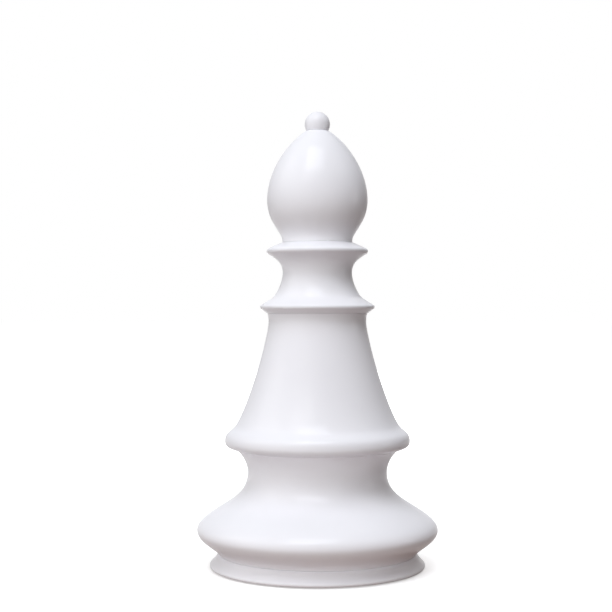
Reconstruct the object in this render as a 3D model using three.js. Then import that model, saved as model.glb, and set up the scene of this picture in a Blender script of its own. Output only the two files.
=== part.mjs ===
import * as THREE from 'three';

// A weighted chess bishop in millimetres, with +Z up.
// It is made in turned sections. Each one plugs into the next by a round tenon in a socket,
// so that the crisp creases around the piece are the seams between sections.
// The origin is on the board, under the middle of the felt.

// Felt pad, glued in a recess under the foot
const feltRadius = 15;
const feltThickness = 1;
const feltProud = 0.15;
const feltClearance = 0.2;

// Foot disc, which closes the base and flares to a thin rounded rim
const footHeight = 2.09;
const footSeamRadius = 15.09;
const footShoulderRadius = 15.38;
const footShoulderHeight = 1.78;
const footRimRadius = 16.49;
const footRimRounding = 0.36;
const footPlugHeight = 2;

// Pedestal, with the wide bulge below and the concave waist above
const pedestalHeight = 15.81;
const bulgeRadius = 18.39;
const bulgeHeight = 3.62;
const slopeRadius = 14.4;
const slopeHeight = 7.32;
const waistRadius = 10.68;
const waistHeight = 12.35;
const ringSeamRadius = 12.43;
const webThickness = 2.4;

// Steel weight, trapped in the pedestal by the foot's plug
const weightRadius = 8.4;
const weightClearance = 0.3;

// Bell, a long flare that ends in a rounded ring
const bellHeight = 20.8;
const ringRadius = 14.18;
const ringHeight = 1.38;
const ringTopRadius = 13.5;
const ringTopHeight = 2.77;
const flareRadius = 12.43;
const flareHeight = 3.84;
const throatRadius = 7.48;
const throatHeight = 19.72;
const bellTenonRadius = 5.5;
const bellTenonLength = 4;

// Spool, a narrow neck between two thin collars
const spoolHeight = 10.9;
const spoolSeamRadius = 7.66;
const lowerCollarRadius = 8.77;
const lowerCollarHeight = 1.01;
const lowerCollarRounding = 0.36;
const coveRadius = 6.98;
const coveHeight = 2.33;
const neckRadius = 5.32;
const neckHeight = 6.29;
const upperCollarRadius = 7.77;
const upperCollarHeight = 9.54;
const upperCollarRounding = 0.42;
const spoolTenonRadius = 3.3;
const spoolTenonLength = 4;

// Head, an egg-shaped mitre with a plain front
const headHeight = 17.09;
const headSeamRadius = 5.4;
const headRadius = 7.71;
const headWidestHeight = 6.45;
const headTopRadius = 1.8;
const headTenonRadius = 2.6;
const headTenonLength = 3.2;

// Finial ball, on a short peg
const finialRadius = 1.94;
const finialSeamRadius = 1.64;
const finialPegRadius = 0.8;
const finialPegLength = 2;

// Fit of every tenon in its socket
const jointClearance = 0.1;
const endClearance = 0.3;
const tenonChamfer = 0.3;

// Directions of the outline in degrees from level, going down the piece
const straightDown = -90;
const crownAngle = -33.7;
const headFootAngle = -74;
const collarCrestAngle = -22;
const collarTopFlankAngle = -32;
const collarUnderFlankAngle = -146;
const lowerFlankAngle = -33;
const throatLipAngle = -118;
const flareEndAngle = -58;
const flareLipAngle = -38;
const ringStartAngle = -48;
const ringUnderAngle = -160;
const waistLipAngle = -144;
const slopeAngle = -32;
const bulgeFootAngle = -120;
const footShoulderAngle = -80;
const footRimTopAngle = -45;
const footRimUnderAngle = -180;

// Reach of each curve's two handles, as shares of the distance between its ends
const crownShares = [0.32, 0.34];
const headUnderShares = [0.52, 0.2];
const crestShares = [0.3, 0.3];
const neckUpperShares = [0.35, 0.43];
const neckLowerShares = [0.34, 0.18];
const throatShares = [0.2, 0.27];
const flareShares = [0.14, 0.23];
const flareLipShares = [0.35, 0.35];
const ringTopShares = [0.1, 0.6];
const ringUnderShares = [0.41, 0.57];
const waistUpperShares = [0.3, 0.34];
const waistLowerShares = [0.41, 0.36];
const bulgeTopShares = [0.57, 0.22];
const bulgeUnderShares = [0.3, 0.28];
const footFlareShares = [0.3, 0.4];

// Faces around the piece, and faces along each kind of curve
const facesAround = 48;
const longSteps = 10;
const curveSteps = 7;
const shortSteps = 4;
const crestSteps = 2;
const ballSteps = 8;

// Heights of the seams above the board
const footZ = feltProud;
const pedestalZ = footZ + footHeight;
const bellZ = pedestalZ + pedestalHeight;
const spoolZ = bellZ + bellHeight;
const headZ = spoolZ + spoolHeight;
const finialZ = headZ + headHeight;

// Sockets and the weight's cavity, from the tenons that fill them
const bellSocketDepth = bellTenonLength + endClearance;
const cavityRadius = weightRadius + weightClearance;
const cavityDepth = pedestalHeight - bellSocketDepth - webThickness;
const weightHeight = cavityDepth - footPlugHeight - endClearance;
const feltRecessRadius = feltRadius + feltClearance;
const feltRecessDepth = feltThickness - feltProud;

const plastic = { color: 0xf1f0f3, roughness: 0.38, metalness: 0 };
const steel = { color: 0x8d8f93, roughness: 0.45, metalness: 1 };
const felt = { color: 0xdcdad8, roughness: 1, metalness: 0 };

const point = (radius, height) => new THREE.Vector2(radius, height);

// A curve down the outline that leaves and arrives in given directions
function swell(start, startAngle, end, endAngle, shares, steps) {
  const reach = start.distanceTo(end);
  const leave = THREE.MathUtils.degToRad(startAngle);
  const arrive = THREE.MathUtils.degToRad(endAngle);
  const leaveReach = reach * shares[0];
  const arriveReach = reach * shares[1];
  const startHandle = start.clone().add(point(leaveReach * Math.cos(leave), leaveReach * Math.sin(leave)));
  const endHandle = end.clone().sub(point(arriveReach * Math.cos(arrive), arriveReach * Math.sin(arrive)));
  return new THREE.CubicBezierCurve(start, startHandle, endHandle, end).getPoints(steps);
}

// The rounded edge of a collar or a rim, met by its flanks in their own directions
function roundedEdge(radius, height, rounding, topFlankAngle, underFlankAngle, steps) {
  const centreRadius = radius - rounding;
  const fromAngle = THREE.MathUtils.degToRad(topFlankAngle) + Math.PI / 2;
  const toAngle = THREE.MathUtils.degToRad(underFlankAngle) + Math.PI / 2;
  return new THREE.EllipseCurve(centreRadius, height, rounding, rounding, fromAngle, toAngle, true)
    .getPoints(steps);
}

// The tenon under a section, from its shoulder to the axis
function tenonOutline(radius, length, shoulderZ) {
  return [
    point(radius, shoulderZ),
    point(radius, shoulderZ - length + tenonChamfer),
    point(radius - tenonChamfer, shoulderZ - length),
    point(0, shoulderZ - length),
  ];
}

// The socket in the top of a section, from the axis to its mouth
function socketOutline(tenonRadius, tenonLength, mouthZ) {
  const radius = tenonRadius + jointClearance;
  const floorZ = mouthZ - tenonLength - endClearance;
  return [point(0, floorZ), point(radius, floorZ), point(radius, mouthZ)];
}

// Revolves an outline that runs down the piece, and leaves out points that repeat
function turned(name, outline, finish) {
  const kept = outline.filter((place, index) => index === 0 || !place.equals(outline[index - 1]));
  const geometry = new THREE.LatheGeometry(kept.reverse(), facesAround);
  const mesh = new THREE.Mesh(geometry, new THREE.MeshStandardMaterial(finish));
  mesh.name = name;
  return mesh;
}

function finialBall() {
  const ballAboveSeam = Math.sqrt(finialRadius ** 2 - finialSeamRadius ** 2);
  const seamAngle = -Math.atan2(ballAboveSeam, finialSeamRadius);
  const ballZ = finialZ + ballAboveSeam;
  const ball = new THREE.EllipseCurve(0, ballZ, finialRadius, finialRadius, Math.PI / 2, seamAngle, true)
    .getPoints(ballSteps);
  ball[0] = point(0, ballZ + finialRadius);
  ball[ballSteps] = point(finialSeamRadius, finialZ);
  return turned('finial_ball', [...ball, ...tenonOutline(finialPegRadius, finialPegLength, finialZ)], plastic);
}

function mitreHead() {
  const top = point(headTopRadius, finialZ);
  const widest = point(headRadius, headZ + headWidestHeight);
  const seam = point(headSeamRadius, headZ);
  return turned('mitre_head', [
    ...socketOutline(finialPegRadius, finialPegLength, finialZ),
    ...swell(top, crownAngle, widest, straightDown, crownShares, longSteps),
    ...swell(widest, straightDown, seam, headFootAngle, headUnderShares, curveSteps),
    ...tenonOutline(headTenonRadius, headTenonLength, headZ),
  ], plastic);
}

function collarSpool() {
  const upperEdge = roundedEdge(
    upperCollarRadius, spoolZ + upperCollarHeight, upperCollarRounding,
    collarTopFlankAngle, collarUnderFlankAngle, shortSteps);
  const lowerEdge = roundedEdge(
    lowerCollarRadius, spoolZ + lowerCollarHeight, lowerCollarRounding,
    lowerFlankAngle, collarUnderFlankAngle, shortSteps);
  const headSeam = point(headSeamRadius, headZ);
  const neck = point(neckRadius, spoolZ + neckHeight);
  const cove = point(coveRadius, spoolZ + coveHeight);
  return turned('collar_spool', [
    ...socketOutline(headTenonRadius, headTenonLength, headZ),
    ...swell(headSeam, collarCrestAngle, upperEdge[0], collarTopFlankAngle, crestShares, crestSteps),
    ...upperEdge,
    ...swell(upperEdge.at(-1), collarUnderFlankAngle, neck, straightDown, neckUpperShares, curveSteps),
    ...swell(neck, straightDown, cove, lowerFlankAngle, neckLowerShares, curveSteps),
    ...lowerEdge,
    point(spoolSeamRadius, spoolZ),
    ...tenonOutline(spoolTenonRadius, spoolTenonLength, spoolZ),
  ], plastic);
}

function bellStem() {
  const spoolSeam = point(spoolSeamRadius, spoolZ);
  const throat = point(throatRadius, bellZ + throatHeight);
  const flareEnd = point(flareRadius, bellZ + flareHeight);
  const ringTop = point(ringTopRadius, bellZ + ringTopHeight);
  const ring = point(ringRadius, bellZ + ringHeight);
  const ringSeam = point(ringSeamRadius, bellZ);
  return turned('bell_stem', [
    ...socketOutline(spoolTenonRadius, spoolTenonLength, spoolZ),
    ...swell(spoolSeam, throatLipAngle, throat, straightDown, throatShares, crestSteps),
    ...swell(throat, straightDown, flareEnd, flareEndAngle, flareShares, longSteps),
    ...swell(flareEnd, flareEndAngle, ringTop, flareLipAngle, flareLipShares, crestSteps),
    ...swell(ringTop, ringStartAngle, ring, straightDown, ringTopShares, shortSteps),
    ...swell(ring, straightDown, ringSeam, ringUnderAngle, ringUnderShares, shortSteps),
    ...tenonOutline(bellTenonRadius, bellTenonLength, bellZ),
  ], plastic);
}

function pedestalBase() {
  const ringSeam = point(ringSeamRadius, bellZ);
  const waist = point(waistRadius, pedestalZ + waistHeight);
  const slope = point(slopeRadius, pedestalZ + slopeHeight);
  const bulge = point(bulgeRadius, pedestalZ + bulgeHeight);
  const footSeam = point(footSeamRadius, pedestalZ);
  return turned('pedestal_base', [
    ...socketOutline(bellTenonRadius, bellTenonLength, bellZ),
    ...swell(ringSeam, waistLipAngle, waist, straightDown, waistUpperShares, curveSteps),
    ...swell(waist, straightDown, slope, slopeAngle, waistLowerShares, curveSteps),
    ...swell(slope, slopeAngle, bulge, straightDown, bulgeTopShares, curveSteps),
    ...swell(bulge, straightDown, footSeam, bulgeFootAngle, bulgeUnderShares, curveSteps),
    point(cavityRadius, pedestalZ),
    point(cavityRadius, pedestalZ + cavityDepth),
    point(0, pedestalZ + cavityDepth),
  ], plastic);
}

function weightSlug() {
  const underZ = pedestalZ + footPlugHeight;
  return turned('weight_slug', [
    point(0, underZ + weightHeight),
    point(weightRadius - tenonChamfer, underZ + weightHeight),
    point(weightRadius, underZ + weightHeight - tenonChamfer),
    point(weightRadius, underZ),
    point(0, underZ),
  ], steel);
}

function footDisc() {
  const plugRadius = cavityRadius - jointClearance;
  const plugZ = pedestalZ + footPlugHeight;
  const shoulder = point(footShoulderRadius, footZ + footShoulderHeight);
  const rim = roundedEdge(
    footRimRadius, footZ + footRimRounding, footRimRounding,
    footRimTopAngle, footRimUnderAngle, shortSteps);
  return turned('foot_disc', [
    point(0, plugZ),
    point(plugRadius - tenonChamfer, plugZ),
    point(plugRadius, plugZ - tenonChamfer),
    point(plugRadius, pedestalZ),
    point(footSeamRadius, pedestalZ),
    ...swell(shoulder, footShoulderAngle, rim[0], footRimTopAngle, footFlareShares, shortSteps),
    ...rim,
    point(feltRecessRadius, footZ),
    point(feltRecessRadius, footZ + feltRecessDepth),
    point(0, footZ + feltRecessDepth),
  ], plastic);
}

function feltPad() {
  return turned('felt_pad', [
    point(0, feltThickness),
    point(feltRadius, feltThickness),
    point(feltRadius, 0),
    point(0, 0),
  ], felt);
}

const bishop = new THREE.Group();
bishop.name = 'chess_bishop';
bishop.add(finialBall());
bishop.add(mitreHead());
bishop.add(collarSpool());
bishop.add(bellStem());
bishop.add(pedestalBase());
bishop.add(weightSlug());
bishop.add(footDisc());
bishop.add(feltPad());

// The outlines are revolved about Y, so the whole piece is stood up on Z
bishop.rotation.x = Math.PI / 2;

export default bishop;
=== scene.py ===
"""A white chess bishop, turned in sections, on a pale floor under soft studio light."""

import math

import bmesh
import bpy
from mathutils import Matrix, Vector


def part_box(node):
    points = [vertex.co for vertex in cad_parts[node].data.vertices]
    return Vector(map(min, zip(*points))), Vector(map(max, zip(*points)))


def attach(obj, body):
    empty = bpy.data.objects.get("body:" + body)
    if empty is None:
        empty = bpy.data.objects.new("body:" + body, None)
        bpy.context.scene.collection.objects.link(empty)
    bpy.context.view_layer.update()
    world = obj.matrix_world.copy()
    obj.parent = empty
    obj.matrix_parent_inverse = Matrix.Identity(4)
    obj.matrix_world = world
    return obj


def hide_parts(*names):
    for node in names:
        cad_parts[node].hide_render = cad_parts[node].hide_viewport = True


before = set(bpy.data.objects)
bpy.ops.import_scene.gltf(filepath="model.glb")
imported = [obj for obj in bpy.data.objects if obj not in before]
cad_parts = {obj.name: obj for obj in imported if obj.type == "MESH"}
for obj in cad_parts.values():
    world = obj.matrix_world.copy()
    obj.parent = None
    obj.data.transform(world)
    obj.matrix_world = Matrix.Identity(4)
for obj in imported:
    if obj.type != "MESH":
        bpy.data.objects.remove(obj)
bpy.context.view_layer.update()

MM = 0.001
STRAIGHT_DOWN = -90

# Seams between the sections, from the frame
BOARD_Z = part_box("felt_pad")[0].z
FOOT_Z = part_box("foot_disc")[0].z
PEDESTAL_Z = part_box("pedestal_base")[0].z
BELL_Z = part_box("pedestal_base")[1].z
SPOOL_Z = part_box("bell_stem")[1].z
HEAD_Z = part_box("collar_spool")[1].z
FINIAL_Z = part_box("mitre_head")[1].z
TOP_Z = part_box("finial_ball")[1].z


def widest(node):
    """The largest radius of a node."""
    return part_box(node)[1].x


def tenon_length(node, seam_z):
    """How far a node reaches below its lower seam."""
    return seam_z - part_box(node)[0].z


# Sizes of the outline that the frame's boxes don't give
FELT_ROUNDING = 0.12 * MM
FELT_CLEARANCE = 0.2 * MM
FOOT_SEAM_R = 15.09 * MM
FOOT_SHOULDER_R = 15.38 * MM
FOOT_SHOULDER_H = 1.78 * MM
FOOT_RIM_ROUNDING = 0.36 * MM
BULGE_H = 3.62 * MM
SLOPE_R = 14.4 * MM
SLOPE_H = 7.32 * MM
WAIST_R = 10.68 * MM
WAIST_H = 12.35 * MM
RING_SEAM_R = 12.43 * MM
WEB = 2.4 * MM
WEIGHT_CLEARANCE = 0.3 * MM
RING_H = 1.38 * MM
RING_TOP_R = 13.5 * MM
RING_TOP_H = 2.77 * MM
FLARE_R = 12.43 * MM
FLARE_H = 3.84 * MM
THROAT_R = 7.48 * MM
THROAT_H = 19.72 * MM
BELL_TENON_R = 5.5 * MM
SPOOL_SEAM_R = 7.66 * MM
LOWER_COLLAR_H = 1.01 * MM
LOWER_COLLAR_ROUNDING = 0.36 * MM
COVE_R = 6.98 * MM
COVE_H = 2.33 * MM
NECK_R = 5.32 * MM
NECK_H = 6.29 * MM
UPPER_COLLAR_R = 7.77 * MM
UPPER_COLLAR_H = 9.54 * MM
UPPER_COLLAR_ROUNDING = 0.42 * MM
SPOOL_TENON_R = 3.3 * MM
HEAD_SEAM_R = 5.4 * MM
HEAD_WIDEST_H = 6.45 * MM
HEAD_TOP_R = 1.8 * MM
HEAD_TENON_R = 2.6 * MM
FINIAL_SEAM_R = 1.64 * MM
FINIAL_PEG_R = 0.8 * MM
JOINT_CLEARANCE = 0.1 * MM
END_CLEARANCE = 0.3 * MM
TENON_CHAMFER = 0.3 * MM
SEAM_ROUNDING = 0.1 * MM

# How near two points of an outline are taken as one
SAME_CORNER = SEAM_ROUNDING / 10
SAME_POINT = SEAM_ROUNDING / 20

# Fineness of the turned surfaces
AROUND = 192
LONG_STEPS = 48
CURVE_STEPS = 28
SHORT_STEPS = 12
ROUND_STEPS = 4
SHARP_TURN = math.radians(28)


def swell(start, start_angle, end, end_angle, shares, steps):
    """A curve down the outline that leaves and arrives in given directions.

    Angles are in degrees from level. The shares say how far each direction holds.
    """
    reach = math.dist(start, end)
    leave = math.radians(start_angle)
    arrive = math.radians(end_angle)
    leave_reach = reach * shares[0]
    arrive_reach = reach * shares[1]
    start_handle = (
        start[0] + leave_reach * math.cos(leave),
        start[1] + leave_reach * math.sin(leave),
    )
    end_handle = (
        end[0] - arrive_reach * math.cos(arrive),
        end[1] - arrive_reach * math.sin(arrive),
    )
    points = []
    for i in range(steps + 1):
        t = i / steps
        weights = ((1 - t) ** 3, 3 * (1 - t) ** 2 * t, 3 * (1 - t) * t ** 2, t ** 3)
        corners = (start, start_handle, end_handle, end)
        r = sum(w * c[0] for w, c in zip(weights, corners))
        z = sum(w * c[1] for w, c in zip(weights, corners))
        points.append((r, z))
    return points


def arc(centre, radius, from_angle, to_angle, steps):
    """Points on a circle, with angles in degrees above level."""
    points = []
    for i in range(steps + 1):
        angle = math.radians(from_angle + (to_angle - from_angle) * i / steps)
        points.append((centre[0] + radius * math.cos(angle), centre[1] + radius * math.sin(angle)))
    return points


def rounded_edge(radius, height, rounding, top_flank, under_flank):
    """The rounded edge of a collar or a rim, met by its flanks in their own directions."""
    return arc((radius - rounding, height), rounding, top_flank + 90, under_flank + 90, SHORT_STEPS)


def tenon(radius, length, shoulder_z):
    """The tenon under a section, from its shoulder to the axis."""
    end_z = shoulder_z - length
    return [
        (radius, shoulder_z),
        (radius, end_z + TENON_CHAMFER),
        (radius - TENON_CHAMFER, end_z),
        (0, end_z),
    ]


def socket(tenon_radius, depth, mouth_z):
    """The socket in the top of a section, from the axis to its mouth."""
    radius = tenon_radius + JOINT_CLEARANCE
    return [(0, mouth_z - depth), (radius, mouth_z - depth), (radius, mouth_z)]


def softened(before, corner, after):
    """A seam's corner with its edge just broken, between the points before and after it."""
    corner_v = Vector(corner)
    into = corner_v + (Vector(before) - corner_v).normalized() * SEAM_ROUNDING
    out = corner_v + (Vector(after) - corner_v).normalized() * SEAM_ROUNDING
    points = []
    for i in range(ROUND_STEPS + 1):
        t = i / ROUND_STEPS
        spot = into * (1 - t) ** 2 + corner_v * 2 * t * (1 - t) + out * t ** 2
        points.append((spot.x, spot.y))
    return points


def with_soft_seams(outline, corners):
    """The outline with each of the named corners softened."""
    points = []
    for i, spot in enumerate(outline):
        if any(math.dist(spot, corner) < SAME_CORNER for corner in corners):
            near = [p for p in outline[:i] if math.dist(p, spot) > SEAM_ROUNDING][-1]
            far = [p for p in outline[i + 1:] if math.dist(p, spot) > SEAM_ROUNDING][0]
            points.extend(softened(near, spot, far))
        else:
            points.append(spot)
    return points


def cleaned(outline):
    """The outline without points that repeat or that a softened corner has overrun."""
    kept = [outline[0]]
    for spot in outline[1:]:
        if math.dist(spot, kept[-1]) > SAME_POINT:
            kept.append(spot)
    return kept


def turned(name, outline):
    """A smooth closed body, revolved from an outline that runs down from axis to axis."""
    outline = cleaned(outline)
    mesh = bmesh.new()
    rings = []
    for r, z in outline:
        if r == 0:
            rings.append([mesh.verts.new((0, 0, z))])
        else:
            angles = [math.tau * k / AROUND for k in range(AROUND)]
            rings.append([mesh.verts.new((r * math.cos(a), r * math.sin(a), z)) for a in angles])
    for upper, lower in zip(rings, rings[1:]):
        for k in range(AROUND):
            n = (k + 1) % AROUND
            if len(upper) == 1:
                face = (upper[0], lower[k], lower[n])
            elif len(lower) == 1:
                face = (upper[k], lower[0], upper[n])
            else:
                face = (upper[k], lower[k], lower[n], upper[n])
            mesh.faces.new(face)
    for i in range(1, len(outline) - 1):
        before = Vector(outline[i]) - Vector(outline[i - 1])
        after = Vector(outline[i + 1]) - Vector(outline[i])
        if before.angle(after) > SHARP_TURN:
            for k in range(AROUND):
                edge = mesh.edges.get((rings[i][k], rings[i][(k + 1) % AROUND]))
                edge.smooth = False
    for face in mesh.faces:
        face.smooth = True
    data = bpy.data.meshes.new(name)
    mesh.to_mesh(data)
    mesh.free()
    piece = bpy.data.objects.new(name, data)
    bpy.context.scene.collection.objects.link(piece)
    return piece


def add_piece(name, node, outline, material):
    """A turned piece that stands for a CAD node."""
    piece = turned(name, outline)
    piece.data.materials.append(material)
    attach(piece, "root")
    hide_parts(node)


def new_material(name):
    """A node material, its tree and its surface shader."""
    material = bpy.data.materials.new(name)
    material.use_nodes = True
    tree = material.node_tree
    return material, tree, tree.nodes["Principled BSDF"]


def noise(tree, place, scale, detail, roughness=0.5):
    """A noise's grey value, in cells per metre of the object's own coordinates."""
    node = tree.nodes.new("ShaderNodeTexNoise")
    node.inputs["Scale"].default_value = scale
    node.inputs["Detail"].default_value = detail
    node.inputs["Roughness"].default_value = roughness
    tree.links.new(place, node.inputs["Vector"])
    return node.outputs["Fac"]


def remapped(tree, source, low, high, from_low=0.3, from_high=0.7):
    """A value that goes from low to high as the source goes from from_low to from_high."""
    node = tree.nodes.new("ShaderNodeMapRange")
    node.inputs["From Min"].default_value = from_low
    node.inputs["From Max"].default_value = from_high
    node.inputs["To Min"].default_value = low
    node.inputs["To Max"].default_value = high
    tree.links.new(source, node.inputs["Value"])
    return node.outputs["Result"]


def blended(tree, factor, first, second):
    """A colour between two others."""
    node = tree.nodes.new("ShaderNodeMix")
    node.data_type = "RGBA"
    node.inputs["A"].default_value = first
    node.inputs["B"].default_value = second
    tree.links.new(factor, node.inputs["Factor"])
    return node.outputs["Result"]


def add_bump(tree, shader, height, strength, distance):
    """Fine relief on a surface."""
    bump = tree.nodes.new("ShaderNodeBump")
    bump.inputs["Strength"].default_value = strength
    bump.inputs["Distance"].default_value = distance
    tree.links.new(height, bump.inputs["Height"])
    tree.links.new(bump.outputs["Normal"], shader.inputs["Normal"])


# The materials' colours, each between two shades
PLASTIC_DARK = (0.855, 0.852, 0.885, 1)
PLASTIC_LIGHT = (0.885, 0.884, 0.915, 1)
FELT_DARK = (0.20, 0.19, 0.185, 1)
FELT_LIGHT = (0.42, 0.41, 0.40, 1)
STEEL_DARK = (0.40, 0.40, 0.42, 1)
STEEL_LIGHT = (0.50, 0.50, 0.51, 1)

# How fine the materials' noises are, in cells per metre
PLASTIC_MOTTLE = 90
PLASTIC_WEAR = 260
PLASTIC_PEEL = 1900
FELT_FIBRES = 3200
FELT_CLUMPS = 700
STEEL_GRAIN = 1200


def satin_plastic():
    """White satin plastic under a thin gloss: faint mottling, uneven polish and orange peel."""
    material, tree, shader = new_material("satin_plastic")
    place = tree.nodes.new("ShaderNodeTexCoord").outputs["Object"]
    mottle = remapped(tree, noise(tree, place, PLASTIC_MOTTLE, 3), 0, 1)
    tint = blended(tree, mottle, PLASTIC_DARK, PLASTIC_LIGHT)
    tree.links.new(tint, shader.inputs["Base Color"])
    wear = noise(tree, place, PLASTIC_WEAR, 4, 0.6)
    tree.links.new(remapped(tree, wear, 0.36, 0.44), shader.inputs["Roughness"])
    peel = noise(tree, place, PLASTIC_PEEL, 2)
    add_bump(tree, shader, peel, 0.06, 0.02 * MM)
    shader.inputs["Specular IOR Level"].default_value = 0
    shader.inputs["Coat Weight"].default_value = 0.4
    shader.inputs["Coat Roughness"].default_value = 0.14
    return material


def pressed_felt():
    """Short-pile felt: a mottled grey of fine matted fibres, raised in coarser clumps."""
    material, tree, shader = new_material("pressed_felt")
    place = tree.nodes.new("ShaderNodeTexCoord").outputs["Object"]
    fibres = remapped(tree, noise(tree, place, FELT_FIBRES, 6, 0.75), 0, 1)
    clumps = noise(tree, place, FELT_CLUMPS, 4, 0.6)
    tree.links.new(blended(tree, fibres, FELT_DARK, FELT_LIGHT), shader.inputs["Base Color"])
    add_bump(tree, shader, clumps, 0.8, 0.15 * MM)
    shader.inputs["Roughness"].default_value = 1
    shader.inputs["Sheen Weight"].default_value = 0.4
    shader.inputs["Specular IOR Level"].default_value = 0.1
    return material


def turned_steel():
    """Plain steel with a fine grain."""
    material, tree, shader = new_material("turned_steel")
    place = tree.nodes.new("ShaderNodeTexCoord").outputs["Object"]
    grain = noise(tree, place, STEEL_GRAIN, 4)
    tree.links.new(blended(tree, grain, STEEL_DARK, STEEL_LIGHT), shader.inputs["Base Color"])
    tree.links.new(remapped(tree, grain, 0.35, 0.55), shader.inputs["Roughness"])
    shader.inputs["Metallic"].default_value = 1
    return material


def finial_outline():
    """The ball, with its peg below."""
    ball_radius = widest("finial_ball")
    centre_z = TOP_Z - ball_radius
    seam_angle = -math.degrees(math.acos(FINIAL_SEAM_R / ball_radius))
    ball = arc((0, centre_z), ball_radius, 90, seam_angle, CURVE_STEPS)
    ball[0] = (0, TOP_Z)
    ball[-1] = (FINIAL_SEAM_R, FINIAL_Z)
    length = tenon_length("finial_ball", FINIAL_Z)
    outline = ball + tenon(FINIAL_PEG_R, length, FINIAL_Z)
    return with_soft_seams(outline, [(FINIAL_SEAM_R, FINIAL_Z)])


def head_outline():
    """The egg-shaped head, with the finial's socket above and a tenon below."""
    top = (HEAD_TOP_R, FINIAL_Z)
    side = (widest("mitre_head"), HEAD_Z + HEAD_WIDEST_H)
    seam = (HEAD_SEAM_R, HEAD_Z)
    peg_length = tenon_length("finial_ball", FINIAL_Z)
    outline = [
        *socket(FINIAL_PEG_R, peg_length + END_CLEARANCE, FINIAL_Z),
        *swell(top, -33.7, side, STRAIGHT_DOWN, (0.32, 0.34), LONG_STEPS),
        *swell(side, STRAIGHT_DOWN, seam, -74, (0.52, 0.2), CURVE_STEPS),
        *tenon(HEAD_TENON_R, tenon_length("mitre_head", HEAD_Z), HEAD_Z),
    ]
    return with_soft_seams(outline, [top, seam])


def spool_outline():
    """The neck between two thin collars, with a socket above and a tenon below."""
    head_seam = (HEAD_SEAM_R, HEAD_Z)
    upper = rounded_edge(UPPER_COLLAR_R, SPOOL_Z + UPPER_COLLAR_H, UPPER_COLLAR_ROUNDING, -32, -146)
    neck = (NECK_R, SPOOL_Z + NECK_H)
    cove = (COVE_R, SPOOL_Z + COVE_H)
    lower_r = widest("collar_spool")
    lower = rounded_edge(lower_r, SPOOL_Z + LOWER_COLLAR_H, LOWER_COLLAR_ROUNDING, -33, -146)
    seam = (SPOOL_SEAM_R, SPOOL_Z)
    outline = [
        *socket(HEAD_TENON_R, tenon_length("mitre_head", HEAD_Z) + END_CLEARANCE, HEAD_Z),
        *swell(head_seam, -22, upper[0], -32, (0.3, 0.3), SHORT_STEPS),
        *upper,
        *swell(upper[-1], -146, neck, STRAIGHT_DOWN, (0.35, 0.43), CURVE_STEPS),
        *swell(neck, STRAIGHT_DOWN, cove, -33, (0.34, 0.18), CURVE_STEPS),
        *lower,
        seam,
        *tenon(SPOOL_TENON_R, tenon_length("collar_spool", SPOOL_Z), SPOOL_Z),
    ]
    return with_soft_seams(outline, [head_seam, seam])


def bell_outline():
    """The flared stem and its ring, with a socket above and a tenon below."""
    spool_seam = (SPOOL_SEAM_R, SPOOL_Z)
    throat = (THROAT_R, BELL_Z + THROAT_H)
    flare_end = (FLARE_R, BELL_Z + FLARE_H)
    ring_top = (RING_TOP_R, BELL_Z + RING_TOP_H)
    ring = (widest("bell_stem"), BELL_Z + RING_H)
    seam = (RING_SEAM_R, BELL_Z)
    outline = [
        *socket(SPOOL_TENON_R, tenon_length("collar_spool", SPOOL_Z) + END_CLEARANCE, SPOOL_Z),
        *swell(spool_seam, -118, throat, STRAIGHT_DOWN, (0.2, 0.27), SHORT_STEPS),
        *swell(throat, STRAIGHT_DOWN, flare_end, -58, (0.14, 0.23), LONG_STEPS),
        *swell(flare_end, -58, ring_top, -38, (0.35, 0.35), SHORT_STEPS),
        *swell(ring_top, -48, ring, STRAIGHT_DOWN, (0.1, 0.6), SHORT_STEPS),
        *swell(ring, STRAIGHT_DOWN, seam, -160, (0.41, 0.57), SHORT_STEPS),
        *tenon(BELL_TENON_R, tenon_length("bell_stem", BELL_Z), BELL_Z),
    ]
    return with_soft_seams(outline, [spool_seam, seam])


def pedestal_outline():
    """The waist and the wide bulge, with a socket above and the slug's cavity below."""
    ring_seam = (RING_SEAM_R, BELL_Z)
    waist = (WAIST_R, PEDESTAL_Z + WAIST_H)
    slope = (SLOPE_R, PEDESTAL_Z + SLOPE_H)
    bulge = (widest("pedestal_base"), PEDESTAL_Z + BULGE_H)
    foot_seam = (FOOT_SEAM_R, PEDESTAL_Z)
    socket_depth = tenon_length("bell_stem", BELL_Z) + END_CLEARANCE
    cavity_r = widest("weight_slug") + WEIGHT_CLEARANCE
    cavity_z = BELL_Z - socket_depth - WEB
    outline = [
        *socket(BELL_TENON_R, socket_depth, BELL_Z),
        *swell(ring_seam, -144, waist, STRAIGHT_DOWN, (0.3, 0.34), CURVE_STEPS),
        *swell(waist, STRAIGHT_DOWN, slope, -32, (0.41, 0.36), CURVE_STEPS),
        *swell(slope, -32, bulge, STRAIGHT_DOWN, (0.57, 0.22), CURVE_STEPS),
        *swell(bulge, STRAIGHT_DOWN, foot_seam, -120, (0.3, 0.28), CURVE_STEPS),
        (cavity_r, PEDESTAL_Z),
        (cavity_r, cavity_z),
        (0, cavity_z),
    ]
    return with_soft_seams(outline, [ring_seam, foot_seam])


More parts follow.
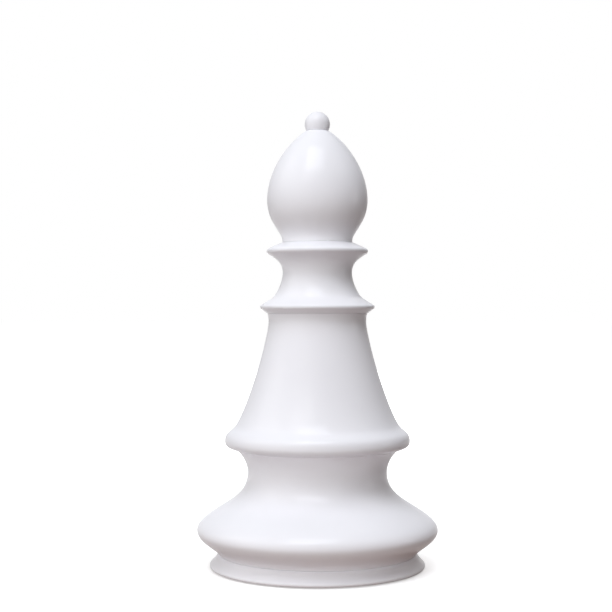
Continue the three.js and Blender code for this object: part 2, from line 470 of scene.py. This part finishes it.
def foot_outline():
    """The flared foot, with its plug above and the felt's recess below."""
    plug_r = widest("weight_slug") + WEIGHT_CLEARANCE - JOINT_CLEARANCE
    plug_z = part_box("foot_disc")[1].z
    seam = (FOOT_SEAM_R, PEDESTAL_Z)
    shoulder = (FOOT_SHOULDER_R, FOOT_Z + FOOT_SHOULDER_H)
    rim = rounded_edge(widest("foot_disc"), FOOT_Z + FOOT_RIM_ROUNDING, FOOT_RIM_ROUNDING, -45, -180)
    recess_r = widest("felt_pad") + FELT_CLEARANCE
    recess_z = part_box("felt_pad")[1].z
    outline = [
        (0, plug_z),
        (plug_r - TENON_CHAMFER, plug_z),
        (plug_r, plug_z - TENON_CHAMFER),
        (plug_r, PEDESTAL_Z),
        seam,
        *swell(shoulder, -66, rim[0], -45, (0.3, 0.4), SHORT_STEPS),
        *rim,
        (recess_r, FOOT_Z),
        (recess_r, recess_z),
        (0, recess_z),
    ]
    return with_soft_seams(outline, [seam, shoulder])


def felt_outline():
    """The felt pad, with softly rounded edges."""
    radius = widest("felt_pad")
    top_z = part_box("felt_pad")[1].z
    return [
        (0, top_z),
        *arc((radius - FELT_ROUNDING, top_z - FELT_ROUNDING), FELT_ROUNDING, 90, 0, ROUND_STEPS),
        *arc((radius - FELT_ROUNDING, BOARD_Z + FELT_ROUNDING), FELT_ROUNDING, 0, -90, ROUND_STEPS),
        (0, BOARD_Z),
    ]


plastic = satin_plastic()
felt = pressed_felt()
steel = turned_steel()

add_piece("fine_finial", "finial_ball", finial_outline(), plastic)
add_piece("fine_head", "mitre_head", head_outline(), plastic)
add_piece("fine_spool", "collar_spool", spool_outline(), plastic)
add_piece("fine_bell", "bell_stem", bell_outline(), plastic)
add_piece("fine_pedestal", "pedestal_base", pedestal_outline(), plastic)
add_piece("fine_foot", "foot_disc", foot_outline(), plastic)
add_piece("fine_felt", "felt_pad", felt_outline(), felt)

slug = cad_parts["weight_slug"]
slug.data.materials.clear()
slug.data.materials.append(steel)

# The photograph's view, in its own pixels
IMAGE_PX = 612
AXIS_X_PX = 317.35
FOCAL_PX = 1317
SENSOR = 36
MM_PER_PX = 0.15351
HORIZON_Z = 40 * MM
CLIP_START = 10 * MM


def add_camera():
    """A level camera in front of the piece, which stands a little right of the middle."""
    camera = bpy.data.cameras.new("photo_camera")
    camera.sensor_width = SENSOR
    camera.lens = SENSOR * FOCAL_PX / IMAGE_PX
    camera.clip_start = CLIP_START
    holder = bpy.data.objects.new("photo_camera", camera)
    offset_px = AXIS_X_PX - IMAGE_PX / 2
    holder.location = (-offset_px * MM_PER_PX * MM, -FOCAL_PX * MM_PER_PX * MM, HORIZON_Z)
    holder.rotation_euler = (math.radians(90), 0, 0)
    bpy.context.scene.collection.objects.link(holder)
    bpy.context.scene.camera = holder


# Every lamp stands this far from the point that it is aimed at, in metres
LAMP_DISTANCE = 0.6
LAMP_TARGET = Vector((0, 0, 35 * MM))
WHITE = (1.0, 1.0, 1.0)


def add_lamp(name, azimuth, elevation, size, energy, colour=WHITE, mirrored=True):
    """A square soft lamp aimed at the piece. Azimuth is from the camera's side, to the right.

    A lamp that isn't mirrored lights the piece but makes no bright spot in its gloss.
    """
    lamp = bpy.data.lights.new(name, "AREA")
    lamp.shape = "SQUARE"
    lamp.size = size
    lamp.energy = energy
    lamp.color = colour
    holder = bpy.data.objects.new(name, lamp)
    turn = math.radians(azimuth)
    lift = math.radians(elevation)
    level = LAMP_DISTANCE * math.cos(lift)
    height = LAMP_DISTANCE * math.sin(lift)
    away = Vector((level * math.sin(turn), -level * math.cos(turn), height))
    holder.location = LAMP_TARGET + away
    aim = LAMP_TARGET - holder.location
    holder.rotation_euler = aim.to_track_quat("-Z", "Y").to_euler()
    holder.visible_glossy = mirrored
    bpy.context.scene.collection.objects.link(holder)


def seen_directly(tree):
    """1 for rays from the camera and for mirrored or refracted ones, and 0 for soft light."""
    path = tree.nodes.new("ShaderNodeLightPath")
    first = tree.nodes.new("ShaderNodeMath")
    first.operation = "MAXIMUM"
    tree.links.new(path.outputs["Is Camera Ray"], first.inputs[0])
    tree.links.new(path.outputs["Is Glossy Ray"], first.inputs[1])
    both = tree.nodes.new("ShaderNodeMath")
    both.operation = "MAXIMUM"
    tree.links.new(first.outputs["Value"], both.inputs[0])
    tree.links.new(path.outputs["Is Transmission Ray"], both.inputs[1])
    return both.outputs["Value"]


# Half the floor's side, in metres, and its colour
FLOOR_HALF = 3
FLOOR_WHITE = (0.8, 0.8, 0.8, 1)

# The floor's own glow near the piece and far from it, and where it changes
NEAR_GLOW = 0.5
FAR_GLOW = 1.0
NEAR_RADIUS = 40 * MM
FAR_RADIUS = 200 * MM

# The colour of the soft light that the floor gives back, near the piece and far from it: a painted
# pool of warm bounce light, lighter near the piece
NEAR_BOUNCE = (0.25, 0.16, 0.132, 1)
FAR_BOUNCE = (0.09, 0.045, 0.036, 1)
NEAR_BOUNCE_RADIUS = 35 * MM
FAR_BOUNCE_RADIUS = 60 * MM


def add_floor():
    """A white floor that keeps a soft shadow, and gives soft warm light from below, from a painted
    pool of bounce light around the piece.
    """
    mesh = bpy.data.meshes.new("floor")
    half = FLOOR_HALF
    corners = [(-half, -half, 0), (half, -half, 0), (half, half, 0), (-half, half, 0)]
    mesh.from_pydata(corners, [], [(0, 1, 2, 3)])
    floor = bpy.data.objects.new("floor", mesh)
    floor.location.z = BOARD_Z
    bpy.context.scene.collection.objects.link(floor)
    material = bpy.data.materials.new("pale_floor")
    material.use_nodes = True
    tree = material.node_tree
    tree.nodes.clear()
    output = tree.nodes.new("ShaderNodeOutputMaterial")
    seen = tree.nodes.new("ShaderNodeBsdfDiffuse")
    seen.inputs["Color"].default_value = FLOOR_WHITE
    glow = tree.nodes.new("ShaderNodeEmission")
    place = tree.nodes.new("ShaderNodeTexCoord").outputs["Object"]
    away = tree.nodes.new("ShaderNodeVectorMath")
    away.operation = "LENGTH"
    tree.links.new(place, away.inputs[0])
    radius = away.outputs["Value"]
    fade = remapped(tree, radius, NEAR_GLOW, FAR_GLOW, NEAR_RADIUS, FAR_RADIUS)
    tree.links.new(fade, glow.inputs["Strength"])
    lit = tree.nodes.new("ShaderNodeAddShader")
    tree.links.new(seen.outputs["BSDF"], lit.inputs[0])
    tree.links.new(glow.outputs["Emission"], lit.inputs[1])
    # For soft light the floor's colour is painted lighter near the piece, a painted pool of warm
    # bounce light
    bounce = tree.nodes.new("ShaderNodeBsdfDiffuse")
    spread = remapped(tree, radius, 0, 1, NEAR_BOUNCE_RADIUS, FAR_BOUNCE_RADIUS)
    painted_bounce_pool = blended(tree, spread, NEAR_BOUNCE, FAR_BOUNCE)
    tree.links.new(painted_bounce_pool, bounce.inputs["Color"])
    choice = tree.nodes.new("ShaderNodeMixShader")
    tree.links.new(seen_directly(tree), choice.inputs["Fac"])
    tree.links.new(bounce.outputs["BSDF"], choice.inputs[1])
    tree.links.new(lit.outputs["Shader"], choice.inputs[2])
    tree.links.new(choice.outputs["Shader"], output.inputs["Surface"])
    floor.data.materials.append(material)


# The world's colour for soft light, and where it is seen directly
WORLD_SOFT = (0.01, 0.01, 0.01, 1)
WORLD_SEEN = (1, 1, 1, 1)


def add_world():
    """White where it is seen, and almost dark for soft light, which the lamps give."""
    world = bpy.data.worlds.new("studio")
    bpy.context.scene.world = world
    world.use_nodes = True
    tree = world.node_tree
    background = tree.nodes["Background"]
    sky = blended(tree, seen_directly(tree), WORLD_SOFT, WORLD_SEEN)
    tree.links.new(sky, background.inputs["Color"])


add_camera()
add_lamp("top_front", -10, 65, 0.35, 1.95, (0.90, 0.93, 1.0))
add_lamp("key", -27, 47, 0.3, 0.56)
add_lamp("low_front", -20, 3.5, 0.1, 1.62, mirrored=False)
add_lamp("left", -90, 35, 0.35, 0.43, (1.0, 1.0, 0.96))
add_lamp("low_left", -100, 8, 0.3, 0.48, (0.9, 0.95, 1.0), mirrored=False)
add_lamp("right", 80, 47, 0.3, 0.12)
add_lamp("back_right", 120, 45, 0.3, 0.76, mirrored=False)
add_lamp("side", 95, 5, 0.15, 0.18)
add_lamp("back", 180, 20, 0.4, 2.2, mirrored=False)
add_floor()
add_world()

bpy.context.scene.view_settings.view_transform = "Standard"
